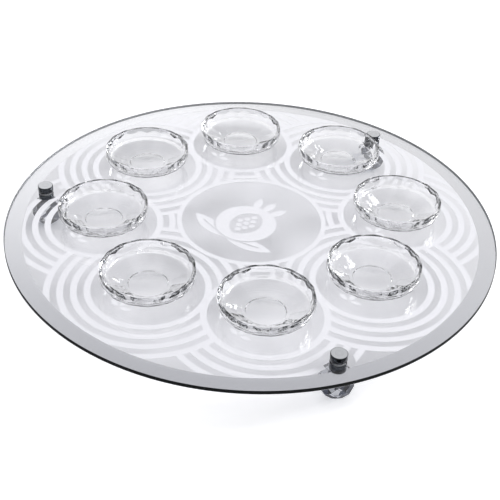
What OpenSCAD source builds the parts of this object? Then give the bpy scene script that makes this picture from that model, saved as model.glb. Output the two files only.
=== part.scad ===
// Round glass plate for the new year's table: a clear sheet with a mirror band and a white print below,
// three crystal feet that are screwed through it, and a loose glass bowl on each printed place.
// Millimetres, +Z up. The origin is on the table below the middle of the plate, and the front is at -Y.

/* [Glass plate] */
// Diameter of the plate
plate_d = 400; // [380:1:460]
// Thickness of the glass
glass_t = 3; // [2:0.5:8]
// Bevel ground along both edges of the rim
edge_cut = 0.4; // [0.2:0.1:0.8]
// Diameter of the drilled holes
hole_d = 6.4; // [6.4:0.1:8]

/* [Print below the glass] */
// Thickness of the mirror coat and of the white print
coat_t = 0.2; // [0.1:0.05:0.4]
// Width of the mirror band
band_w = 14; // [8:0.5:16]
// Distance of the middle of a bowl place from the edge of the plate
place_edge = 79.5; // [74:0.5:84]
// Diameter of the clear disc at each bowl place
place_d = 86; // [80:0.5:90]
// Width of a white ring
ring_w = 5; // [3:0.25:5.5]
// Width of the clear ring between two white rings
ring_gap = 5; // [3:0.25:6]
// Number of white rings round a place
ring_count = 4; // [2:1:5]
// Diameter of the clear disc in the middle
disc_d = 115; // [100:1:120]
// Width of the white outline round that disc
outline_w = 4; // [2:0.5:6]
// Width of the clear ring round each foot's washer
foot_clear_w = 6.5; // [3:0.5:9]

/* [Ornaments in the print] */
// Diameter of the fruit in the middle
fruit_d = 50; // [46:1:54]
// Length of the opening that shows the seeds
opening_l = 34; // [30:1:40]
// Width of that opening
opening_w = 25; // [22:0.5:28]
// Diameter of a seed
seed_d = 4.8; // [2:0.1:5]
// Length of a leaf below the fruit
leaf_l = 40; // [30:1:44]
// Width of a leaf below the fruit
leaf_w = 13; // [8:0.5:16]
// Length of a crown point on top of the fruit
crown_l = 14; // [8:0.5:16]
// Width of a crown point
crown_w = 7; // [4:0.5:8]
// Width of the clear lines between the parts of the ornament
line_w = 1.4; // [0.8:0.1:2]
// Length of a sprig leaf on a bowl place
sprig_l = 9; // [5:0.5:12]
// Width of a sprig leaf
sprig_w = 3.8; // [2:0.2:5]
// Distance of the sprig in front of the middle of its place
sprig_y = 31; // [26:0.5:36]

/* [Feet] */
// Distance of the middle of a foot from the edge of the plate
foot_edge = 23; // [20:0.5:32]
// Width of a crystal over its upright facets
crystal_d = 24.6; // [24:0.2:30]
// Height of a crystal
crystal_h = 22.5; // [21:0.5:24]
// Tilt of the facets next to a crystal's upright ones
near_tilt = 25; // [20:1:30]
// Tilt of the facets next to a crystal's top and foot
far_tilt = 48; // [46:1:52]
// Diameter of the metal collar on a crystal
collar_d = 12.4; // [11:0.1:13]
// Height of the collar
collar_h = 6; // [4:0.5:14]
// Diameter of the cap above the glass
cap_d = 12.6; // [11:0.1:15]
// Height of the cap
cap_h = 5.2; // [5:0.1:8]
// Bevel on the cap's upper edge
cap_cut = 0.5; // [0.2:0.1:1]
// Diameter of the stud
stud_d = 4; // [3:0.1:4.4]
// How far a stud goes into its crystal
stud_seat = 8; // [5:0.5:12]
// Thickness of a cap's top above its threaded hole
cap_top_t = 1.4; // [1:0.1:2]
// Diameter of the bush flange and of the washer
washer_d = 11; // [9:0.1:11]
// Thickness of the bush flange and of the washer
washer_t = 0.5; // [0.4:0.1:1.5]

/* [Bowls] */
// Diameter of a bowl over the corners of its facets
rim_d = 73.4; // [66:0.2:80]
// Height of a bowl
bowl_h = 17.6; // [16:0.2:26]
// Diameter of the base that a bowl stands on
base_d = 33; // [24:0.5:40]
// Thickness of the glass in the middle of a bowl
base_t = 3.4; // [2:0.1:5]
// Height of the faceted band below the rim
band_h = 9; // [6:0.2:10]
// Thickness of the glass along the rim
lip_w = 2.6; // [2:0.1:3.5]
// Thickness of the glass at the foot of the band
wall_w = 3.6; // [3:0.1:4.5]
// Number of facets round a bowl
facet_count = 16; // [12:1:24]
// How far the upper facets lean in at the rim
rim_lean = 0.6; // [0.3:0.1:1.2]
// How far the lower facets lean in at the foot of the band
band_lean = 1.8; // [0.6:0.1:2]

/* [Fits] */
// Radial gap of a stud in its threads
thread_gap = 0.05; // [0.03:0.01:0.1]
// Radial gap of a bush in its hole and of a stud in its bush
bush_gap = 0.1; // [0.05:0.05:0.2]
// Gap at the blind end of a hole
end_gap = 0.3; // [0.1:0.1:0.6]
// Gap between the two coats
coat_gap = 0.2; // [0.1:0.05:0.4]

/* [Hidden] */
$fn = 96;
PLACES = 8;
FEET = 3;
FOOT_PIECES = ["crystal", "collar", "washer", "stud", "bush", "cap"];

// Levels above the table
collar_z = crystal_h;
washer_z = collar_z + collar_h;
glass_z = washer_z + washer_t;
plate_top = glass_z + glass_t;
cap_z = plate_top + washer_t;

// Radii of the print, and of the places and the feet
flat_r = plate_d / 2 - edge_cut;
band_r = plate_d / 2 - band_w;
print_r = band_r - coat_gap;
place_r = plate_d / 2 - place_edge;
foot_r = plate_d / 2 - foot_edge;
ring_step = ring_w + ring_gap;
set_r = place_d / 2 + (ring_count - 1) * ring_step + ring_w;
foot_clear_r = washer_d / 2 + foot_clear_w;

// The fruit and its crown together are centred in the disc
fruit_y = -crown_l / 2;
seed_step = seed_d + line_w;

// Bowl profile
rim_r = rim_d / 2;
band_z = bowl_h - band_h;
cut_z = band_z + band_h / 2;
wall_out_r = rim_r - band_lean;
dish_r = wall_out_r - wall_w;
dish_high = band_z;
lip_r = rim_r - rim_lean - lip_w;
flat_out_r = rim_r * cos(180 / facet_count);

// A length that reaches past any piece
past = 2 * rim_d;

// A sliver by which cutters reach past a face
over = 0.5;

function place_turn(i) = -90 + 360 / PLACES * (i - 1);
function foot_turn(i) = 90 + 360 / FEET * (i - 1);

// Height of the centre of a ball that passes through the axis at low_z and through (r, high_z)
function ball_z(r, low_z, high_z) = ((high_z * high_z - low_z * low_z) + r * r) / (2 * (high_z - low_z));

// Height of the centre of a ball that passes through (r1, z1) and (r2, z2)
function belt_z(r1, z1, r2, z2) = ((r2 * r2 + z2 * z2) - (r1 * r1 + z1 * z1)) / (2 * (z2 - z1));

module at_place(i) {
    rotate(place_turn(i))
        translate([place_r, 0])
            rotate(-place_turn(i))
                children();
}

module at_foot(i) {
    rotate(foot_turn(i))
        translate([foot_r, 0])
            children();
}

module ring_2d(inner_r, outer_r) {
    difference() {
        circle(outer_r);
        circle(inner_r);
    }
}

// The white rings round one place, counted from the inside
module ring_set(first, last) {
    for (k = [first:last]) {
        ring_2d(place_d / 2 + k * ring_step, place_d / 2 + k * ring_step + ring_w);
    }
}

// Pointed leaf that starts at the origin and lies along +X
module leaf_2d(length, width) {
    arc_r = (length * length + width * width) / (4 * width);
    translate([length / 2, 0]) {
        intersection() {
            translate([0, arc_r - width / 2]) circle(arc_r);
            translate([0, width / 2 - arc_r]) circle(arc_r);
        }
    }
}

// Every second ring set lies over its two neighbours, whose places stay whole
module rings_2d() {
    difference() {
        for (i = [1:2:PLACES]) at_place(i) ring_set(0, ring_count - 1);
        for (i = [2:2:PLACES]) at_place(i) circle(place_d / 2 + ring_w);
    }
    difference() {
        for (i = [2:2:PLACES]) at_place(i) ring_set(1, ring_count - 1);
        for (i = [1:2:PLACES]) at_place(i) circle(set_r);
    }
    for (i = [2:2:PLACES]) at_place(i) ring_set(0, 0);
}

// Leaf with a clear midrib that stops short of its tip
module veined_leaf_2d(length, width) {
    rib_share = 0.72;
    difference() {
        leaf_2d(length, width);
        translate([-over, -line_w / 2]) square([rib_share * length + over, line_w]);
    }
}

// Opened pomegranate with its crown, its seeds and a leaf on each side
module fruit_2d() {
    crown_turn = 20;
    leaf_turn = 14;
    fruit_r = fruit_d / 2;
    translate([0, fruit_y]) {
        difference() {
            union() {
                circle(fruit_r);
                for (turn = [-crown_turn, 0, crown_turn]) {
                    rotate(90 + turn)
                        translate([fruit_r - crown_w / 2, 0])
                            leaf_2d(crown_l + crown_w / 2, crown_w);
                }
            }
            rotate(90) translate([-opening_l / 2, 0]) leaf_2d(opening_l, opening_w);
        }
        seeds_2d();
        difference() {
            for (side = [0, 1]) {
                mirror([side, 0])
                    translate([line_w, -fruit_r - line_w])
                        rotate(leaf_turn)
                            veined_leaf_2d(leaf_l, leaf_w);
            }
            circle(fruit_r + line_w);
        }
    }
}

// Rows of one, two, three, two and one seeds
module seeds_2d() {
    for (row = [-2:2]) {
        last = 2 - abs(row);
        for (k = [0:last]) {
            translate([(k - last / 2) * seed_step, row * seed_step * sin(60)]) circle(d = seed_d);
        }
    }
}

// Sprig of three leaves on a bowl place
module sprig_2d() {
    spread = 72;
    translate([0, -sprig_y]) {
        for (turn = [90 - spread, 90, 90 + spread]) {
            rotate(turn) translate([line_w, 0]) leaf_2d(sprig_l, sprig_w);
        }
    }
}

module glass_plate() {
    color([0.86, 0.91, 0.91, 0.35])
        difference() {
            rotate_extrude()
                translate([0, glass_z])
                    polygon([
                        [0, 0],
                        [flat_r, 0],
                        [plate_d / 2, edge_cut],
                        [plate_d / 2, glass_t - edge_cut],
                        [flat_r, glass_t],
                        [0, glass_t]
                    ]);
            for (i = [1:FEET]) {
                at_foot(i) translate([0, 0, glass_z - over]) cylinder(h = glass_t + 2 * over, d = hole_d);
            }
        }
}

module mirror_band() {
    color("silver")
        translate([0, 0, glass_z - coat_t])
            linear_extrude(coat_t)
                ring_2d(band_r, flat_r);
}

module white_print() {
    color("white")
        translate([0, 0, glass_z - coat_t])
            linear_extrude(coat_t) {
                difference() {
                    intersection() {
                        union() {
                            rings_2d();
                            circle(disc_d / 2 + outline_w);
                        }
                        circle(print_r);
                    }
                    circle(disc_d / 2);
                    for (i = [1:FEET]) at_foot(i) circle(foot_clear_r);
                }
                fruit_2d();
                for (i = [1:PLACES]) at_place(i) sprig_2d();
            }
}

// Flat cuts round the axis. Each cut's middle line runs from low to high, both given as [radius, height].
module facet_cuts(count, turn, low, high) {
    lean = atan2(low[0] - high[0], high[1] - low[1]);
    for (k = [1:count]) {
        rotate(turn + 360 / count * k)
            translate([low[0], 0, low[1]])
                rotate([0, -lean, 0])
                    translate([0, -past / 2, -past / 2])
                        cube(past);
    }
}

// Cut crystal: a ball of flat facets in five rows, each turned by half a facet against the next
module crystal(i) {
    sides = 8;
    ball_r = crystal_d / 2;
    tilts = [-far_tilt, -near_tilt, 0, near_tilt, far_tilt];
    color([0.82, 0.85, 0.9, 0.5])
        at_foot(i)
            difference() {
                cylinder(h = crystal_h, r = crystal_d);
                for (row = [0:len(tilts) - 1]) {
                    tilt = tilts[row];
                    touch = [ball_r * cos(tilt), crystal_h / 2 + ball_r * sin(tilt)];
                    facet_cuts(sides, row * 180 / sides, touch, touch + [-sin(tilt), cos(tilt)]);
                }
                translate([0, 0, crystal_h - stud_seat - end_gap])
                    cylinder(h = stud_seat + end_gap + over, d = stud_d + 2 * thread_gap);
            }
}

module collar(i) {
    color("dimgray")
        at_foot(i)
            translate([0, 0, collar_z])
                difference() {
                    cylinder(h = collar_h, d = collar_d);
                    translate([0, 0, -over]) cylinder(h = collar_h + 2 * over, d = stud_d + 2 * thread_gap);
                }
}

module washer(i) {
    color([0.9, 0.9, 0.9, 0.6])
        at_foot(i)
            translate([0, 0, washer_z])
                difference() {
                    cylinder(h = washer_t, d = washer_d);
                    translate([0, 0, -over]) cylinder(h = washer_t + 2 * over, d = stud_d + 2 * bush_gap);
                }
}

module stud(i) {
    low = crystal_h - stud_seat;
    high = cap_z + cap_h - cap_top_t - end_gap;
    color("gray")
        at_foot(i)
            translate([0, 0, low])
                cylinder(h = high - low, d = stud_d);
}

// Flanged bush: the flange lies on the glass and the sleeve fills the drilled hole
module bush(i) {
    color([0.9, 0.9, 0.9, 0.6])
        at_foot(i)
            difference() {
                union() {
                    translate([0, 0, plate_top]) cylinder(h = washer_t, d = washer_d);
                    translate([0, 0, glass_z]) cylinder(h = glass_t + washer_t, d = hole_d - 2 * bush_gap);
                }
                translate([0, 0, glass_z - over])
                    cylinder(h = glass_t + washer_t + 2 * over, d = stud_d + 2 * bush_gap);
            }
}

module cap(i) {
    cap_r = cap_d / 2;
    bore_r = stud_d / 2 + thread_gap;
    color("silver")
        at_foot(i)
            translate([0, 0, cap_z])
                rotate_extrude()
                    polygon([
                        [bore_r, 0],
                        [cap_r, 0],
                        [cap_r, cap_h - cap_cut],
                        [cap_r - cap_cut, cap_h],
                        [0, cap_h],
                        [0, cap_h - cap_top_t],
                        [bore_r, cap_h - cap_top_t]
                    ]);
}

// Half section of a bowl before its facets are cut: a rounded wall on a flat base, and the dish inside
module bowl_section() {
    wall_z = belt_z(base_d / 2, 0, wall_out_r, band_z);
    wall_ball_r = norm([base_d / 2, wall_z]);
    dish_z = ball_z(dish_r, base_t, dish_high);
    difference() {
        intersection() {
            translate([0, wall_z]) circle(wall_ball_r);
            square([rim_r + over, bowl_h]);
        }
        intersection() {
            translate([0, dish_z]) circle(dish_z - base_t);
            square([dish_r, dish_high + over]);
        }
        polygon([
            [0, dish_high],
            [dish_r, dish_high],
            [lip_r, bowl_h],
            [lip_r, bowl_h + over],
            [0, bowl_h + over]
        ]);
    }
}

// Bowl with two rows of flat facets round its band, the lower row turned by half a facet
module bowl(i) {
    color([0.9, 0.93, 0.94, 0.4])
        at_place(i)
            translate([0, 0, plate_top])
                difference() {
                    rotate_extrude($fn = 120) bowl_section();
                    facet_cuts(facet_count, 0, [flat_out_r, cut_z], [flat_out_r - rim_lean, bowl_h]);
                    facet_cuts(
                        facet_count,
                        180 / facet_count,
                        [flat_out_r - band_lean, band_z],
                        [flat_out_r, cut_z]
                    );
                }
}

glass_plate();
mirror_band();
white_print();
for (i = [1:FEET]) {
    crystal(i);
    collar(i);
    washer(i);
    stud(i);
    bush(i);
    cap(i);
}
for (i = [1:PLACES]) {
    bowl(i);
}
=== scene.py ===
"""Looks of a round glass serving plate on crystal feet, with eight loose pressed glass bowls."""
import math

import bmesh
import bpy
from mathutils import Matrix, Vector


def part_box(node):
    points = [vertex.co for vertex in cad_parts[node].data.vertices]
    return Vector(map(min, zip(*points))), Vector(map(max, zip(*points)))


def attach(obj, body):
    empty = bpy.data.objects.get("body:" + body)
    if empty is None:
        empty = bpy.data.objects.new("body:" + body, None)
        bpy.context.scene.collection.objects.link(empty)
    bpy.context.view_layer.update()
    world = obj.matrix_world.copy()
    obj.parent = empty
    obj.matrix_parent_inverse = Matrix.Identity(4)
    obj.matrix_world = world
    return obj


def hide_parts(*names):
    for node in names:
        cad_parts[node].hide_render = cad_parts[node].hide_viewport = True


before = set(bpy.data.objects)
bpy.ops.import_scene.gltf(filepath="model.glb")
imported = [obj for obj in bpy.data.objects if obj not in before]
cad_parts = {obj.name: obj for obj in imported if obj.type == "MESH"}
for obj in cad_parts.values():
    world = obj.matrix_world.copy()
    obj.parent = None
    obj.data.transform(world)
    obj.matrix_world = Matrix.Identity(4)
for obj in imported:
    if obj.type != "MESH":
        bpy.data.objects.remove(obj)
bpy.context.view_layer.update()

MM = 0.001
FEET = (1, 2, 3)
PLACES = (1, 2, 3, 4, 5, 6, 7, 8)

# Sizes of the pieces, in millimetres and degrees
PLATE_R = 199.94
PLATE_HOLE_R = 3.2
PLATE_EDGE_ROUND = 0.45
PLATE_EDGE_W = 2  # the faces of the sheet's edge lie within this width
FILM = 0.04  # air between two faces that lie on each other
RIM_R = 36.7
RIM_LEAN = 0.6
CORNER_ROUND = 0.3
BOWL_H = 17.6
BOWL_BASE_R = 16.5
BOWL_BASE_T = 3.4
BAND_LOW = 8.6
BAND_MIDDLE = 13.1
BAND_LEAN = 1.8
DISH_R = 31.3
DISH_HIGH = 8.6
LIP_R = 33.9
LIP_ROUND = 0.35
LIP_GUARD = 0.6  # facet corners nearer than this to the lip are left as they are
CORNER_LOW = 3  # and so are those below this height
DISH_ROUND = 2.2
BOWL_FACETS = 16
WALL_FLAT = 8.5  # half the length of a flat, measured along the rounded wall
WALL_FLAT_DROP = 1  # degrees that the flats lie below the middle of the wall
STAND_W = 0.8  # ring that a bowl stands on
RECESS_EDGE_W = 0.7
RECESS_EDGE_H = 0.4
RECESS_H = 0.5
CRYSTAL_R = 12.3
CRYSTAL_H = 22.5
CRYSTAL_SIDES = 8
CRYSTAL_TILTS = (-48, -25, 0, 25, 48)
CRYSTAL_EDGE = 0.12
ROW_TILT = 24  # mean step of tilt from one row of facets to the next
SECTOR_SHIFT = 0.25  # keeps the facets of all rows off the limits between two sectors
BORE_R = 2.05
BORE_LOW = 14.2
BORE_GUARD = 0.5  # edges nearer than this to a foot's bore stay sharp
COLLAR_ROUND = 0.3
CAP_TOP_T = 1.4
CAP_EDGE_ROUND = 0.5
CAP_FOOT_ROUND = 0.2
STUD_R = 1.98
THREAD_PITCH = 0.7
THREAD_DEPTH = 0.43
THREAD_KEPT_BACK = 1  # length left out when the turns that fit on a stud are counted

# Fineness of the meshes: steps round a shape or along an arc
PLATE_STEPS = 256
HOLE_STEPS = 32
CRYSTAL_STEPS = 32
COLLAR_STEPS = 64
CAP_STEPS = 96
BOWL_STEPS = 96
WALL_STEPS = 10
DISH_STEPS = 14
THREAD_STEPS = 24

# Limits for finding points and faces, in millimetres or as the z of a face's normal
MERGE = 1e-3
MERGE_FINE = 1e-4
CUT_NEAR = 1e-5
ON_CIRCLE = 0.02
LEVEL_Z = 0.99  # a face counts as a top or an underside
FLAT_Z = 0.9999  # a face is shaded flat


# Small tools for meshes: all shapes are made in millimetres round the z axis and then put in place

def centre_of(node):
    """The middle of a CAD node's underside, in millimetres."""
    low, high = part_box(node)
    return Vector(((low.x + high.x) / 2, (low.y + high.y) / 2, low.z)) / MM


def line(bm, points, start=None):
    """Joins points, given as (radius, height), to a half section, from start on if there is one."""
    last = start
    for radius, height in points:
        vert = bm.verts.new((radius, 0, height))
        if last:
            bm.edges.new((last, vert))
        last = vert
    return last


def arc(bm, start, centre_z, degrees, steps):
    """Goes on from start along an arc about a point of the z axis."""
    made = bmesh.ops.spin(
        bm, geom=[start], cent=(0, 0, centre_z), axis=(0, 1, 0), dvec=(0, 0, 0),
        angle=math.radians(-degrees), steps=steps,
    )
    return next(g for g in made["geom_last"] if isinstance(g, bmesh.types.BMVert))


def turn(bm, steps):
    """Spins the half section round the z axis to a closed shape."""
    bmesh.ops.spin(
        bm, geom=bm.verts[:] + bm.edges[:], cent=(0, 0, 0), axis=(0, 0, 1), dvec=(0, 0, 0),
        angle=2 * math.pi, steps=steps, use_merge=True,
    )
    bmesh.ops.remove_doubles(bm, verts=bm.verts[:], dist=MERGE_FINE)
    bmesh.ops.recalc_face_normals(bm, faces=bm.faces[:])


def cut_facets(bm, count, first, low, high):
    """Grinds flat facets round the z axis.

    Each facet's middle line runs from low to high, both given as (radius, height).
    """
    for k in range(count):
        turned = Matrix.Rotation(math.radians(first + 360 / count * k), 3, "Z")
        cut = bmesh.ops.bisect_plane(
            bm, geom=bm.verts[:] + bm.edges[:] + bm.faces[:], dist=CUT_NEAR,
            plane_co=turned @ Vector((low[0], 0, low[1])),
            plane_no=turned @ Vector((high[1] - low[1], 0, low[0] - high[0])),
            clear_outer=True,
        )
        rim = [g for g in cut["geom_cut"] if isinstance(g, bmesh.types.BMEdge)]
        bmesh.ops.contextual_create(bm, geom=rim)


def soften(bm, offset, segments, least, chosen=None):
    """Rounds every edge that is sharper than least degrees, and that chosen lets through."""
    edges = [
        e for e in bm.edges
        if len(e.link_faces) == 2
        and e.calc_face_angle() > math.radians(least)
        and (chosen is None or chosen(e))
    ]
    bmesh.ops.bevel(
        bm, geom=edges, offset=offset, offset_type="OFFSET", segments=segments, profile=0.5,
        affect="EDGES", clamp_overlap=True, material=-1,
    )
    bmesh.ops.remove_doubles(bm, verts=bm.verts[:], dist=MERGE_FINE)


def on_circle(radius, height):
    """Picks the edges of one ring of a turned shape."""
    return lambda e: all(
        abs(math.hypot(v.co.x, v.co.y) - radius) < ON_CIRCLE and abs(v.co.z - height) < ON_CIRCLE
        for v in e.verts
    )


def piece(bm, name, node, body, materials, sharp, own_place=None):
    """Puts a finished shape in place of its CAD node.

    Edges sharper than sharp degrees stay so. own_place is where the shape's own axis stands, and each point
    keeps its place round that axis as an attribute.
    """
    mesh = bpy.data.meshes.new(name)
    bm.normal_update()
    bm.to_mesh(mesh)
    bm.free()
    if own_place is not None:
        kept = mesh.attributes.new("own_place", "FLOAT_VECTOR", "POINT")
        for vert, value in zip(mesh.vertices, kept.data):
            value.vector = vert.co * MM
        mesh.transform(Matrix.Translation(own_place))
    mesh.transform(Matrix.Scale(MM, 4))
    for material in materials:
        mesh.materials.append(material)
    mesh.shade_smooth()
    mesh.set_sharp_from_angle(angle=math.radians(sharp))
    for face in mesh.polygons:
        face.use_smooth = abs(face.normal.z) < FLAT_Z
    made = bpy.data.objects.new(name, mesh)
    bpy.context.scene.collection.objects.link(made)
    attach(made, body)
    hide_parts(node)
    return made


# Small tools for materials

def linear(code):
    """Linear colour of an sRGB hex value."""
    parts = [int(code[i:i + 2], 16) / 255 for i in (1, 3, 5)]
    return [c / 12.92 if c <= 0.04045 else ((c + 0.055) / 1.055) ** 2.4 for c in parts] + [1.0]


def add(tree, kind, settings=None, inputs=None):
    """Adds a node with its settings. Each input is a value, or another node's output to link."""
    made = tree.nodes.new(kind)
    for name, value in (settings or {}).items():
        setattr(made, name, value)
    for name, value in (inputs or {}).items():
        if isinstance(value, bpy.types.NodeSocket):
            tree.links.new(value, made.inputs[name])
        else:
            made.inputs[name].default_value = value
    return made


def new_material(name):
    """An empty material and its node tree."""
    material = bpy.data.materials.new(name)
    material.use_nodes = True
    material.node_tree.nodes.clear()
    return material, material.node_tree


def per_mm(size):
    """Noise scale that gives features of about that many millimetres on Object coordinates."""
    return 1 / (size * MM)


def lets_light_through(tree, glass, share, inner=None):
    """Glass that bends what is seen through it, and lets lamps and bounced light pass to what lies below.

    inner gives the number of inner reflections after which a ray leaves the glass, and the painted dark and
    pale colour that it has then, in spots of a few millimetres: painted reflections.
    """
    path = add(tree, "ShaderNodeLightPath")
    either = add(tree, "ShaderNodeMath", {"operation": "MAXIMUM"},
                 {0: path.outputs["Is Shadow Ray"], 1: path.outputs["Is Diffuse Ray"]})
    clear = add(tree, "ShaderNodeBsdfTransparent", None, {"Color": linear(share)})
    mixed = add(tree, "ShaderNodeMixShader", None,
                {0: either.outputs[0], 1: glass.outputs[0], 2: clear.outputs[0]})
    # Painted reflections: after that many inner reflections the ray goes out through dark and pale painted
    # spots
    if inner:
        count, dark, pale = inner
        deep = add(tree, "ShaderNodeMath", {"operation": "GREATER_THAN"},
                   {0: path.outputs["Glossy Depth"], 1: count - 0.5})
        place = add(tree, "ShaderNodeTexCoord").outputs["Object"]
        spots = add(tree, "ShaderNodeTexNoise", None, {"Vector": place, "Scale": per_mm(3.2), "Detail": 2.0})
        part = add(tree, "ShaderNodeMapRange", None,
                   {"Value": spots.outputs["Fac"], "From Min": 0.48, "From Max": 0.53})
        painted_reflection_tint = add(tree, "ShaderNodeMix", {"data_type": "RGBA"},
                   {0: part.outputs["Result"], 6: linear(dark), 7: linear(pale)})
        painted_reflection = add(tree, "ShaderNodeBsdfTransparent", None, {"Color": painted_reflection_tint.outputs[2]})
        mixed = add(tree, "ShaderNodeMixShader", None,
                    {0: deep.outputs[0], 1: mixed.outputs[0], 2: painted_reflection.outputs[0]})
    add(tree, "ShaderNodeOutputMaterial", None, {"Surface": mixed.outputs[0]})


def float_glass():
    # Clear float glass, fire polished: nearly flawless, with a ripple of a few centimetres that bends
    # reflections a little.
    material, tree = new_material("clear_float_glass_polished")
    place = add(tree, "ShaderNodeTexCoord").outputs["Object"]
    ripple = add(tree, "ShaderNodeTexNoise", None, {"Vector": place, "Scale": per_mm(45), "Detail": 1.0})
    bump = add(tree, "ShaderNodeBump", None,
               {"Strength": 0.04, "Distance": 0.2 * MM, "Height": ripple.outputs["Fac"]})
    glass = add(tree, "ShaderNodeBsdfPrincipled", None, {
        "Base Color": linear("#FAFAFB"), "Roughness": 0.0, "IOR": 1.52, "Transmission Weight": 1.0,
        "Normal": bump.outputs["Normal"],
    })
    lets_light_through(tree, glass, "#FBFBFC")
    return material


def ground_edge_glass():
    # Edge of the same sheet, ground to a satin: from outside it is nearly black, which is painted shade.
    material, tree = new_material("clear_float_glass_ground_edge_painted_shade")
    place = add(tree, "ShaderNodeTexCoord").outputs["Object"]
    grit = add(tree, "ShaderNodeTexNoise", None, {"Vector": place, "Scale": per_mm(0.8), "Detail": 3.0})
    rough = add(tree, "ShaderNodeMapRange", None,
                {"Value": grit.outputs["Fac"], "To Min": 0.3, "To Max": 0.5})
    # Painted shade: near black where the edge is seen from outside, a painted grey line where the far edge is
    # seen from within
    side = add(tree, "ShaderNodeNewGeometry")
    tone = add(tree, "ShaderNodeMix", {"data_type": "RGBA"},
               {0: side.outputs["Backfacing"], 6: linear("#0A0D0E"), 7: linear("#787B7F")})
    glass = add(tree, "ShaderNodeBsdfPrincipled", None, {
        "Base Color": tone.outputs[2], "Roughness": rough.outputs[0], "IOR": 1.52, "Transmission Weight": 0.1,
        "Specular IOR Level": 0.05,
    })
    lets_light_through(tree, glass, "#C8D0CF")
    return material


def mirror_coat():
    # Silver mirror coat on the underside of the glass: a clear reflection with faint clouds from the
    # silvering bath.
    material, tree = new_material("silver_mirror_coat")
    place = add(tree, "ShaderNodeTexCoord").outputs["Object"]
    cloud = add(tree, "ShaderNodeTexNoise", None, {"Vector": place, "Scale": per_mm(18), "Detail": 4.0})
    rough = add(tree, "ShaderNodeMapRange", None,
                {"Value": cloud.outputs["Fac"], "To Min": 0.02, "To Max": 0.07})
    shine = add(tree, "ShaderNodeBsdfPrincipled", None, {
        "Base Color": linear("#F4F4F5"), "Metallic": 1.0, "Roughness": rough.outputs[0],
    })
    add(tree, "ShaderNodeOutputMaterial", None, {"Surface": shine.outputs[0]})
    return material


def white_enamel():
    # White ceramic enamel, screen printed and fired: dense and satin, with the mesh's faint mottle.
    material, tree = new_material("white_enamel_screen_printed")
    place = add(tree, "ShaderNodeTexCoord").outputs["Object"]
    mottle = add(tree, "ShaderNodeTexNoise", None, {"Vector": place, "Scale": per_mm(1.5), "Detail": 3.0})
    tone = add(tree, "ShaderNodeMix", {"data_type": "RGBA"},
               {0: mottle.outputs["Fac"], 6: linear("#F4F4F6"), 7: linear("#FAFAFC")})
    rough = add(tree, "ShaderNodeMapRange", None,
                {"Value": mottle.outputs["Fac"], "To Min": 0.4, "To Max": 0.55})
    bump = add(tree, "ShaderNodeBump", None,
               {"Strength": 0.1, "Distance": 0.02 * MM, "Height": mottle.outputs["Fac"]})
    paint = add(tree, "ShaderNodeBsdfPrincipled", None, {
        "Base Color": tone.outputs[2], "Roughness": rough.outputs[0], "Normal": bump.outputs["Normal"],
    })
    add(tree, "ShaderNodeOutputMaterial", None, {"Surface": paint.outputs[0]})
    return material


def back_lacquer():
    # Grey protective lacquer, rolled on the back of the coats as on any mirror: matt, with a faint
    # orange peel.
    material, tree = new_material("grey_back_lacquer")
    place = add(tree, "ShaderNodeTexCoord").outputs["Object"]
    peel = add(tree, "ShaderNodeTexNoise", None, {"Vector": place, "Scale": per_mm(2.5), "Detail": 2.0})
    tone = add(tree, "ShaderNodeMix", {"data_type": "RGBA"},
               {0: peel.outputs["Fac"], 6: linear("#94969A"), 7: linear("#A2A4A8")})
    bump = add(tree, "ShaderNodeBump", None,
               {"Strength": 0.2, "Distance": 0.03 * MM, "Height": peel.outputs["Fac"]})
    paint = add(tree, "ShaderNodeBsdfPrincipled", None, {
        "Base Color": tone.outputs[2], "Roughness": 0.6, "Normal": bump.outputs["Normal"],
    })
    add(tree, "ShaderNodeOutputMaterial", None, {"Surface": paint.outputs[0]})
    return material


def pressed_glass():
    # Clear pressed glass, fire polished: soft waves left by the mould make the highlights uneven.
    material, tree = new_material("clear_pressed_glass_fire_polished")
    place = add(tree, "ShaderNodeTexCoord").outputs["Object"]
    wave = add(tree, "ShaderNodeTexNoise", None, {"Vector": place, "Scale": per_mm(5), "Detail": 1.0})
    bump = add(tree, "ShaderNodeBump", None,
               {"Strength": 0.5, "Distance": 0.2 * MM, "Height": wave.outputs["Fac"]})
    glass = add(tree, "ShaderNodeBsdfPrincipled", None, {
        "Base Color": linear("#FFFFFF"), "Roughness": 0.0, "IOR": 1.5, "Transmission Weight": 1.0,
        "Normal": bump.outputs["Normal"],
    })
    # The painted dark and pale spots after three inner reflections draw dark dashes and glints along the rims
    lets_light_through(tree, glass, "#FFFFFF", (3, "#101418", "#F4F5F7"))
    return material


def cut_crystal(name, colour, share, shine):
    # Cut and polished crystal: a high index breaks the light up from facet to facet.
    material, tree = new_material(name)
    place = add(tree, "ShaderNodeTexCoord").outputs["Object"]
    polish = add(tree, "ShaderNodeTexNoise", None, {"Vector": place, "Scale": per_mm(3), "Detail": 2.0})
    rough = add(tree, "ShaderNodeMapRange", None,
                {"Value": polish.outputs["Fac"], "To Min": 0.0, "To Max": 0.03})
    glass = add(tree, "ShaderNodeBsdfPrincipled", None, {
        "Base Color": linear(colour), "Roughness": rough.outputs[0], "IOR": 1.6, "Transmission Weight": 1.0,
        "Specular IOR Level": shine,
    })
    # Painted dark and pale spots after two inner reflections: painted reflections among the facets
    lets_light_through(tree, glass, share, (2, "#0A0C16", "#F2F4F8"))
    return material


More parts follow.
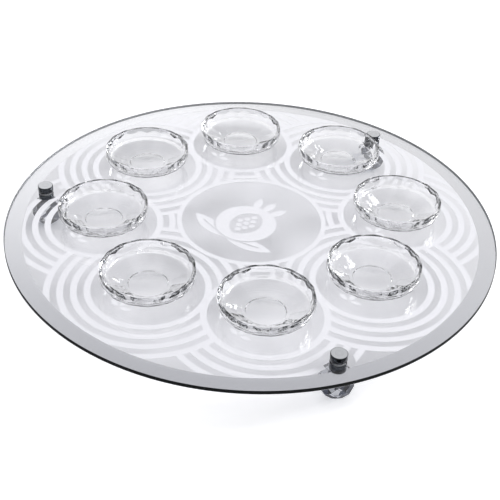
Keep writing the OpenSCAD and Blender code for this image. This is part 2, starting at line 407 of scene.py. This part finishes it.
def turned_steel():
    # Stainless steel, turned and brushed: fine rings round the axis.
    material, tree = new_material("stainless_steel_turned")
    place = add(tree, "ShaderNodeAttribute", {"attribute_name": "own_place"}).outputs["Vector"]
    axis_free = add(tree, "ShaderNodeVectorMath", {"operation": "MULTIPLY"}, {0: place, 1: (1, 1, 0)})
    radius = add(tree, "ShaderNodeVectorMath", {"operation": "LENGTH"}, {0: axis_free.outputs[0]})
    # Real turning marks are about 0.05 mm apart, which is too fine to show, so they are drawn at 0.5 mm
    rings = add(tree, "ShaderNodeTexNoise", {"noise_dimensions": "1D"},
                {"W": radius.outputs["Value"], "Scale": per_mm(0.5), "Detail": 3.0})
    tone = add(tree, "ShaderNodeMix", {"data_type": "RGBA"},
               {0: rings.outputs["Fac"], 6: linear("#94969A"), 7: linear("#FAFBFC")})
    rough = add(tree, "ShaderNodeMapRange", None,
                {"Value": rings.outputs["Fac"], "To Min": 0.22, "To Max": 0.38})
    bump = add(tree, "ShaderNodeBump", None,
               {"Strength": 0.25, "Distance": 0.03 * MM, "Height": rings.outputs["Fac"]})
    steel = add(tree, "ShaderNodeBsdfPrincipled", None, {
        "Base Color": tone.outputs[2], "Metallic": 1.0, "Roughness": rough.outputs[0],
        "Normal": bump.outputs["Normal"],
    })
    add(tree, "ShaderNodeOutputMaterial", None, {"Surface": steel.outputs[0]})
    return material


def polished_steel():
    # The same steel, polished: a clear mirror painted dark, with a few fine lines from the buffing wheel.
    material, tree = new_material("stainless_steel_polished_painted_dark")
    place = add(tree, "ShaderNodeTexCoord").outputs["Object"]
    stretched = add(tree, "ShaderNodeMapping", None, {"Vector": place, "Scale": (1, 1, 8)})
    lines = add(tree, "ShaderNodeTexNoise", None,
                {"Vector": stretched.outputs[0], "Scale": per_mm(4), "Detail": 4.0})
    rough = add(tree, "ShaderNodeMapRange", None,
                {"Value": lines.outputs["Fac"], "To Min": 0.04, "To Max": 0.1})
    # The dark base colour is painted shade, for the dark room that the polished side reflects.
    steel = add(tree, "ShaderNodeBsdfPrincipled", None, {
        "Base Color": linear("#3A3C40"), "Metallic": 1.0, "Roughness": rough.outputs[0],
    })
    add(tree, "ShaderNodeOutputMaterial", None, {"Surface": steel.outputs[0]})
    return material


def chrome():
    # Chrome plate, polished: a cool mirror painted in a dark tone, with hardly any haze.
    material, tree = new_material("chrome_plate_polished_painted_dark")
    place = add(tree, "ShaderNodeTexCoord").outputs["Object"]
    haze = add(tree, "ShaderNodeTexNoise", None, {"Vector": place, "Scale": per_mm(5), "Detail": 3.0})
    rough = add(tree, "ShaderNodeMapRange", None,
                {"Value": haze.outputs["Fac"], "To Min": 0.03, "To Max": 0.09})
    # The dark base colour is painted shade, for the dark room that the chrome reflects.
    plate = add(tree, "ShaderNodeBsdfPrincipled", None, {
        "Base Color": linear("#46494E"), "Metallic": 1.0, "Roughness": rough.outputs[0],
    })
    add(tree, "ShaderNodeOutputMaterial", None, {"Surface": plate.outputs[0]})
    return material


def zinc_plate():
    # Zinc plated steel: blue-white and satin, with a fine spangle.
    material, tree = new_material("zinc_plated_steel")
    place = add(tree, "ShaderNodeTexCoord").outputs["Object"]
    spangle = add(tree, "ShaderNodeTexVoronoi", None, {"Vector": place, "Scale": per_mm(0.6)})
    rough = add(tree, "ShaderNodeMapRange", None,
                {"Value": spangle.outputs["Distance"], "To Min": 0.25, "To Max": 0.4})
    steel = add(tree, "ShaderNodeBsdfPrincipled", None, {
        "Base Color": linear("#AEB3B9"), "Metallic": 1.0, "Roughness": rough.outputs[0],
    })
    add(tree, "ShaderNodeOutputMaterial", None, {"Surface": steel.outputs[0]})
    return material


def soft_plastic():
    # Clear soft PVC, moulded: milky, with a satin skin.
    material, tree = new_material("clear_soft_plastic_moulded")
    place = add(tree, "ShaderNodeTexCoord").outputs["Object"]
    skin = add(tree, "ShaderNodeTexNoise", None, {"Vector": place, "Scale": per_mm(0.7), "Detail": 3.0})
    rough = add(tree, "ShaderNodeMapRange", None,
                {"Value": skin.outputs["Fac"], "To Min": 0.25, "To Max": 0.45})
    plastic = add(tree, "ShaderNodeBsdfPrincipled", None, {
        "Base Color": linear("#E6E8EA"), "Roughness": rough.outputs[0], "IOR": 1.53,
        "Transmission Weight": 0.6,
    })
    add(tree, "ShaderNodeOutputMaterial", None, {"Surface": plastic.outputs[0]})
    return material


GLASS = float_glass()
EDGE = ground_edge_glass()
MIRROR = mirror_coat()
ENAMEL = white_enamel()
LACQUER = back_lacquer()
BOWL_GLASS = pressed_glass()
CRYSTAL = cut_crystal("cut_crystal_polished", "#F4F5F8", "#E4E6EA", 0.5)
# Every second facet is painted dark: painted shade in place of the dark flash of leaded crystal
PAINTED_DARK_CRYSTAL = cut_crystal("cut_crystal_painted_dark_flash", "#10131E", "#9AA0AC", 0.15)
TURNED = turned_steel()
POLISHED_PAINTED_DARK = polished_steel()
CHROME_PAINTED_DARK = chrome()
ZINC = zinc_plate()
PLASTIC = soft_plastic()


# The sheet, its coats and what holds the feet

def glass_sheet():
    """Round sheet with three drilled holes and a ground edge."""
    low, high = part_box("glass_plate")
    bm = bmesh.new()
    bmesh.ops.create_circle(bm, segments=PLATE_STEPS, radius=PLATE_R)
    for i in FEET:
        hole = centre_of(f"bush_{i}")
        bmesh.ops.create_circle(
            bm, segments=HOLE_STEPS, radius=PLATE_HOLE_R, matrix=Matrix.Translation((hole.x, hole.y, 0))
        )
    bmesh.ops.triangle_fill(bm, edges=bm.edges[:], use_beauty=True, normal=(0, 0, 1))
    bmesh.ops.translate(bm, verts=bm.verts[:], vec=(0, 0, low.z / MM))
    lifted = bmesh.ops.extrude_face_region(bm, geom=bm.faces[:], use_keep_orig=True)
    raised = [g for g in lifted["geom"] if isinstance(g, bmesh.types.BMVert)]
    bmesh.ops.translate(bm, verts=raised, vec=(0, 0, (high.z - low.z) / MM))
    bmesh.ops.recalc_face_normals(bm, faces=bm.faces[:])
    outside = PLATE_R - PLATE_EDGE_W
    soften(
        bm, PLATE_EDGE_ROUND, segments=3, least=30,
        chosen=lambda e: all(math.hypot(*v.co.xy) > outside for v in e.verts),
    )
    for face in bm.faces:
        if abs(face.normal.z) < LEVEL_Z and math.hypot(*face.calc_center_median().xy) > outside:
            face.material_index = 1
    piece(bm, "glass_sheet", "glass_plate", "plate", [GLASS, EDGE], sharp=40)


def coat(name, node, material):
    """A coat below the glass, with a film of air kept above it."""
    bm = bmesh.new()
    bm.from_mesh(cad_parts[node].data)
    bmesh.ops.remove_doubles(bm, verts=bm.verts[:], dist=MERGE * MM)
    bmesh.ops.scale(bm, vec=(1 / MM, 1 / MM, 1 / MM), verts=bm.verts[:])
    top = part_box(node)[1].z / MM
    upper = [v for v in bm.verts if v.co.z > top - FILM]
    bmesh.ops.translate(bm, verts=upper, vec=(0, 0, -FILM))
    bm.normal_update()
    for face in bm.faces:
        face.material_index = 1 if face.normal.z < -LEVEL_Z else 0
    piece(bm, name, node, "plate", [material, LACQUER], sharp=30)


def cut_foot(i):
    """Ball of cut facets in five rows, drilled for its stud."""
    bm = bmesh.new()
    blank = 2 * CRYSTAL_R
    line(bm, [(0, BORE_LOW), (BORE_R, BORE_LOW), (BORE_R, CRYSTAL_H), (blank, CRYSTAL_H), (blank, 0), (0, 0)])
    turn(bm, CRYSTAL_STEPS)
    for row, tilt in enumerate(CRYSTAL_TILTS):
        lean = math.radians(tilt)
        low = (CRYSTAL_R * math.cos(lean), CRYSTAL_H / 2 + CRYSTAL_R * math.sin(lean))
        high = (low[0] - math.sin(lean), low[1] + math.cos(lean))
        cut_facets(bm, CRYSTAL_SIDES, row * 180 / CRYSTAL_SIDES, low, high)
    outside = BORE_R + BORE_GUARD
    soften(
        bm, CRYSTAL_EDGE, segments=1, least=12,
        chosen=lambda e: all(math.hypot(*v.co.xy) > outside for v in e.verts),
    )
    bm.normal_update()
    for face in bm.faces:
        way = math.atan2(face.normal.y, face.normal.x)
        sector = math.floor(way / math.radians(360 / CRYSTAL_SIDES) + SECTOR_SHIFT)
        tilt = math.degrees(math.asin(max(-1, min(1, face.normal.z))))
        level = round(tilt / ROW_TILT)
        # Every second facet takes the crystal painted dark, a painted dark reflection
        clear = abs(face.normal.z) > LEVEL_Z or (sector + level) % 2
        face.material_index = 0 if clear else 1
    piece(
        bm, f"cut_foot_{i}", f"crystal_{i}", "plate", [CRYSTAL, PAINTED_DARK_CRYSTAL],
        sharp=8, own_place=centre_of(f"crystal_{i}"),
    )


def collar(i):
    """Metal sleeve between a foot and the glass."""
    bm = bmesh.new()
    low, high = (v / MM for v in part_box(f"collar_{i}"))
    tall, radius = high.z - low.z, (high.x - low.x) / 2
    line(bm, [(BORE_R, 0), (radius, 0), (radius, tall), (BORE_R, tall), (BORE_R, 0)])
    turn(bm, COLLAR_STEPS)
    soften(bm, COLLAR_ROUND, segments=3, least=60)
    piece(
        bm, f"foot_collar_{i}", f"collar_{i}", "plate", [CHROME_PAINTED_DARK],
        sharp=40, own_place=centre_of(f"collar_{i}"),
    )


def cap(i):
    """Cap nut: a turned face inside a polished rounded edge and side."""
    bm = bmesh.new()
    low, high = (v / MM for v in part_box(f"cap_{i}"))
    tall, radius = high.z - low.z, (high.x - low.x) / 2
    ceiling = tall - CAP_TOP_T
    line(bm, [(0, ceiling), (BORE_R, ceiling), (BORE_R, 0), (radius, 0), (radius, tall), (0, tall)])
    turn(bm, CAP_STEPS)
    soften(bm, CAP_EDGE_ROUND, segments=4, least=60, chosen=on_circle(radius, tall))
    soften(bm, CAP_FOOT_ROUND, segments=2, least=60, chosen=on_circle(radius, 0))
    for face in bm.faces:
        face.material_index = 0 if face.normal.z > LEVEL_Z else 1
    piece(
        bm, f"cap_nut_{i}", f"cap_{i}", "plate", [TURNED, POLISHED_PAINTED_DARK],
        sharp=40, own_place=centre_of(f"cap_{i}"),
    )


def stud(i):
    """Threaded stud: one tooth of the thread is spun up the shank, and both ends are closed flat."""
    bm = bmesh.new()
    low, high = (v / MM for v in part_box(f"stud_{i}"))
    tall = high.z - low.z
    turns = int((tall - THREAD_KEPT_BACK) / THREAD_PITCH)
    core = STUD_R - THREAD_DEPTH
    foot = (tall - (turns + 1) * THREAD_PITCH) / 2
    line(bm, [(core, foot), (STUD_R, foot + THREAD_PITCH / 2), (core, foot + THREAD_PITCH)])
    bmesh.ops.spin(
        bm, geom=bm.verts[:] + bm.edges[:], cent=(0, 0, 0), axis=(0, 0, 1),
        dvec=(0, 0, THREAD_PITCH / THREAD_STEPS), angle=2 * math.pi * turns, steps=THREAD_STEPS * turns,
    )
    bmesh.ops.remove_doubles(bm, verts=bm.verts[:], dist=MERGE)
    ends = bmesh.ops.extrude_edge_only(bm, edges=[e for e in bm.edges if e.is_boundary])
    for vert in (g for g in ends["geom"] if isinstance(g, bmesh.types.BMVert)):
        across = vert.co.xy.normalized() * core
        vert.co = (across.x, across.y, 0 if vert.co.z < tall / 2 else tall)
    bmesh.ops.remove_doubles(bm, verts=bm.verts[:], dist=MERGE)
    bmesh.ops.holes_fill(bm, edges=[e for e in bm.edges if e.is_boundary], sides=0)
    bmesh.ops.recalc_face_normals(bm, faces=bm.faces[:])
    piece(
        bm, f"threaded_stud_{i}", f"stud_{i}", "plate", [ZINC],
        sharp=50, own_place=centre_of(f"stud_{i}"),
    )


def bowl(i):
    """Pressed bowl: a smooth dish, two rows of facets round the band and a row of flats on the wall."""
    bm = bmesh.new()
    wall_z = (RIM_R - BAND_LEAN) ** 2 + BAND_LOW ** 2 - BOWL_BASE_R ** 2
    wall_z /= 2 * BAND_LOW
    wall_ball = math.hypot(BOWL_BASE_R, wall_z)
    dish_z = (DISH_HIGH ** 2 - BOWL_BASE_T ** 2 + DISH_R ** 2) / (2 * (DISH_HIGH - BOWL_BASE_T))
    outer = RIM_R - CORNER_ROUND
    start = math.degrees(math.asin(BOWL_BASE_R / wall_ball))
    stop = math.degrees(math.asin(outer / wall_ball))
    stand = BOWL_BASE_R - STAND_W
    recess = stand - RECESS_EDGE_W
    base = line(bm, [(0, RECESS_H), (recess, RECESS_EDGE_H), (stand, FILM), (BOWL_BASE_R, FILM)])
    wall = arc(bm, base, wall_z + FILM, stop - start, WALL_STEPS)
    line(bm, [(outer, BAND_MIDDLE), (outer - RIM_LEAN, BOWL_H), (LIP_R, BOWL_H), (DISH_R, DISH_HIGH)], wall)
    centre = bm.verts.new((0, 0, BOWL_BASE_T))
    arc(bm, centre, dish_z, math.degrees(math.asin(DISH_R / (dish_z - BOWL_BASE_T))), DISH_STEPS)
    bmesh.ops.remove_doubles(bm, verts=bm.verts[:], dist=MERGE)
    turn(bm, BOWL_STEPS)
    soften(bm, DISH_ROUND, segments=5, least=20, chosen=on_circle(DISH_R, DISH_HIGH))
    soften(bm, LIP_ROUND, segments=3, least=40, chosen=on_circle(LIP_R, BOWL_H))
    flat_r = RIM_R * math.cos(math.pi / BOWL_FACETS)
    cut_facets(bm, BOWL_FACETS, 0, (flat_r, BAND_MIDDLE), (flat_r - RIM_LEAN, BOWL_H))
    cut_facets(bm, BOWL_FACETS, 180 / BOWL_FACETS, (flat_r - BAND_LEAN, BAND_LOW), (flat_r, BAND_MIDDLE))
    middle = math.radians((start + stop) / 2 - WALL_FLAT_DROP)
    half = WALL_FLAT / wall_ball
    low, high = (
        (wall_ball * math.sin(a), wall_z + FILM - wall_ball * math.cos(a))
        for a in (middle - half, middle + half)
    )
    cut_facets(bm, BOWL_FACETS, 0, low, high)
    outside = LIP_R + LIP_GUARD
    soften(
        bm, CORNER_ROUND, segments=2, least=9,
        chosen=lambda e: all(math.hypot(*v.co.xy) > outside and v.co.z > CORNER_LOW for v in e.verts),
    )
    made = piece(
        bm, f"pressed_bowl_{i}", f"bowl_{i}", f"bowl_{i}", [BOWL_GLASS],
        sharp=7, own_place=centre_of(f"bowl_{i}"),
    )
    even = made.modifiers.new("facet_shading", "WEIGHTED_NORMAL")
    even.keep_sharp = True


glass_sheet()
coat("mirror_ring", "mirror_band", MIRROR)
coat("ring_print", "white_print", ENAMEL)
for i in FEET:
    cut_foot(i)
    collar(i)
    cap(i)
    stud(i)
    for node in (f"washer_{i}", f"bush_{i}"):
        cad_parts[node].data.materials.clear()
        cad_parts[node].data.materials.append(PLASTIC)
for i in PLACES:
    bowl(i)


# Studio: a white floor, a dome of soft light with a darker front, and one soft lamp on the right

# Right and back are as the camera sees them
VIEW_TURN = math.radians(38.5)
RIGHT = Vector((math.cos(VIEW_TURN), math.sin(VIEW_TURN), 0))
BACK = Vector((-math.sin(VIEW_TURN), math.cos(VIEW_TURN), 0))
PLATE_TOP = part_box("glass_plate")[1].z

# Camera, fitted to the plate's outline in the photograph: metres from the middle of the plate, and degrees
CAMERA_FRONT = 0.66861
CAMERA_ABOVE = 0.46863
CAMERA_REACH = 20
AIM_FRONT = 0.0437
CAMERA_ANGLE = 28.394
CAMERA_ROLL = 2.72

# Floor: half its width in metres, its glow for camera, mirrors and glass, and a further glow for the camera
FLOOR_HALF = 6
FLOOR_GLOW = 0.1
FLOOR_WHITE = 0.42


def studio_floor():
    # White seamless paper: matt, with a faint tooth. A glow lifts it to white for the camera, and a little
    # for mirrors and glass, and it keeps its shadows.
    material, tree = new_material("white_seamless_paper")
    place = add(tree, "ShaderNodeTexCoord").outputs["Object"]
    tooth = add(tree, "ShaderNodeTexNoise", None, {"Vector": place, "Scale": per_mm(3), "Detail": 2.0})
    bump = add(tree, "ShaderNodeBump", None,
               {"Strength": 0.05, "Distance": 0.05 * MM, "Height": tooth.outputs["Fac"]})
    paper = add(tree, "ShaderNodeBsdfDiffuse", None,
                {"Color": linear("#E4E4E6"), "Normal": bump.outputs["Normal"]})
    path = add(tree, "ShaderNodeLightPath")
    mirrored = add(tree, "ShaderNodeMath", {"operation": "MAXIMUM"},
                   {0: path.outputs["Is Camera Ray"], 1: path.outputs["Is Glossy Ray"]})
    seen = add(tree, "ShaderNodeMath", {"operation": "MAXIMUM"},
               {0: mirrored.outputs[0], 1: path.outputs["Is Transmission Ray"]})
    faint = add(tree, "ShaderNodeMath", {"operation": "MULTIPLY"}, {0: seen.outputs[0], 1: FLOOR_GLOW})
    white = add(tree, "ShaderNodeMath", {"operation": "MULTIPLY_ADD"},
                {0: path.outputs["Is Camera Ray"], 1: FLOOR_WHITE, 2: faint.outputs[0]})
    lit = add(tree, "ShaderNodeEmission", None, {"Color": linear("#FFFFFF"), "Strength": white.outputs[0]})
    mixed = add(tree, "ShaderNodeAddShader", None, {0: paper.outputs[0], 1: lit.outputs[0]})
    add(tree, "ShaderNodeOutputMaterial", None, {"Surface": mixed.outputs[0]})
    bm = bmesh.new()
    bmesh.ops.create_grid(bm, x_segments=2, y_segments=2, size=FLOOR_HALF)
    mesh = bpy.data.meshes.new("studio_floor")
    bm.to_mesh(mesh)
    bm.free()
    mesh.materials.append(material)
    made = bpy.data.objects.new("studio_floor", mesh)
    bpy.context.scene.collection.objects.link(made)


def studio_dome():
    """Light of a white room, with a glow behind the plate and an unlit patch on the camera's side.

    It is white round the horizon and bright above, and greyer in between and towards the front. The camera
    itself sees plain white.
    """
    world = bpy.data.worlds.new("studio_dome")
    bpy.context.scene.world = world
    world.use_nodes = True
    tree = world.node_tree
    tree.nodes.clear()
    way = add(tree, "ShaderNodeTexCoord").outputs["Generated"]
    axis = Vector((0, 0, 1)) - RIGHT * 0.03
    height = add(tree, "ShaderNodeVectorMath", {"operation": "DOT_PRODUCT"}, {0: way, 1: axis.normalized()})
    ramp = add(tree, "ShaderNodeValToRGB", None, {0: height.outputs["Value"]})
    stops = ramp.color_ramp.elements
    stops[0].position, stops[0].color = 0.4, linear("#FFFFFF")
    stops[1].position, stops[1].color = 1.0, linear("#A2A2A5")
    for position, code in ((0.62, "#D9DADD"), (0.7, "#C5C6CA"), (0.8, "#D8D9DC"), (0.93, "#F0F0F2")):
        stops.new(position).color = linear(code)
    glow_way = BACK - RIGHT * 0.22 + Vector((0, 0, 0.5))
    near = add(tree, "ShaderNodeVectorMath", {"operation": "DOT_PRODUCT"}, {0: way, 1: glow_way.normalized()})
    glow = add(tree, "ShaderNodeMapRange", {"interpolation_type": "SMOOTHSTEP"}, {
        "Value": near.outputs["Value"], "From Min": 0.967, "From Max": 1.0, "To Min": 0.98, "To Max": 1.27,
    })
    camera_way = Vector((0, 0, 0.7)) - BACK
    beside = add(tree, "ShaderNodeVectorMath", {"operation": "DOT_PRODUCT"},
                 {0: way, 1: camera_way.normalized()})
    unlit = add(tree, "ShaderNodeMapRange", {"interpolation_type": "SMOOTHSTEP"}, {
        "Value": beside.outputs["Value"], "From Min": 0.85, "From Max": 0.98, "To Min": 1.0, "To Max": 0.1,
    })
    depth = add(tree, "ShaderNodeVectorMath", {"operation": "DOT_PRODUCT"}, {0: way, 1: BACK})
    front = add(tree, "ShaderNodeMapRange", None, {
        "Value": depth.outputs["Value"], "From Min": -1.0, "From Max": 1.0, "To Min": 0.58, "To Max": 1.09,
    })
    above = add(tree, "ShaderNodeMapRange", {"interpolation_type": "SMOOTHSTEP"}, {
        "Value": height.outputs["Value"], "From Min": 0.74, "From Max": 0.9, "To Min": 1.0, "To Max": 1.9,
    })
    strength = glow
    for other in (unlit, front, above):
        strength = add(tree, "ShaderNodeMath", {"operation": "MULTIPLY"},
                       {0: strength.outputs[0], 1: other.outputs["Result"]})
    light = add(tree, "ShaderNodeBackground", None,
                {"Color": ramp.outputs["Color"], "Strength": strength.outputs[0]})
    backdrop = add(tree, "ShaderNodeBackground", None, {"Color": linear("#FFFFFF"), "Strength": 1.0})
    path = add(tree, "ShaderNodeLightPath")
    seen = add(tree, "ShaderNodeMixShader", None,
               {0: path.outputs["Is Camera Ray"], 1: light.outputs[0], 2: backdrop.outputs[0]})
    add(tree, "ShaderNodeOutputWorld", None, {"Surface": seen.outputs[0]})


def soft_lamp(name, side, depth, height, size, power):
    """Square soft box that faces the middle of the plate; side and depth go to the right and to the back."""
    data = bpy.data.lights.new(name, "AREA")
    data.shape, data.size, data.energy = "SQUARE", size, power
    made = bpy.data.objects.new(name, data)
    made.location = RIGHT * side + BACK * depth + Vector((0, 0, height))
    made.rotation_mode = "QUATERNION"
    made.rotation_quaternion = (Vector((0, 0, PLATE_TOP)) - made.location).to_track_quat("-Z", "Y")
    bpy.context.scene.collection.objects.link(made)


def photo_camera():
    """Camera at the photograph's angle: in front of the plate and above it, and rolled a little."""
    data = bpy.data.cameras.new("photo_camera")
    data.angle = math.radians(CAMERA_ANGLE)
    data.clip_end = CAMERA_REACH
    made = bpy.data.objects.new("photo_camera", data)
    made.location = BACK * -CAMERA_FRONT + Vector((0, 0, PLATE_TOP + CAMERA_ABOVE))
    aim = BACK * -AIM_FRONT + Vector((0, 0, PLATE_TOP))
    made.rotation_mode = "QUATERNION"
    level = (aim - made.location).to_track_quat("-Z", "Y").to_matrix()
    roll = Matrix.Rotation(math.radians(CAMERA_ROLL), 3, "Z")
    made.rotation_quaternion = (level @ roll).to_quaternion()
    bpy.context.scene.collection.objects.link(made)
    bpy.context.scene.camera = made


studio_floor()
studio_dome()
soft_lamp("soft_box_right", side=6.0, depth=2.1, height=3.0, size=2.8, power=400)
photo_camera()
bpy.context.scene.view_settings.view_transform = "Standard"
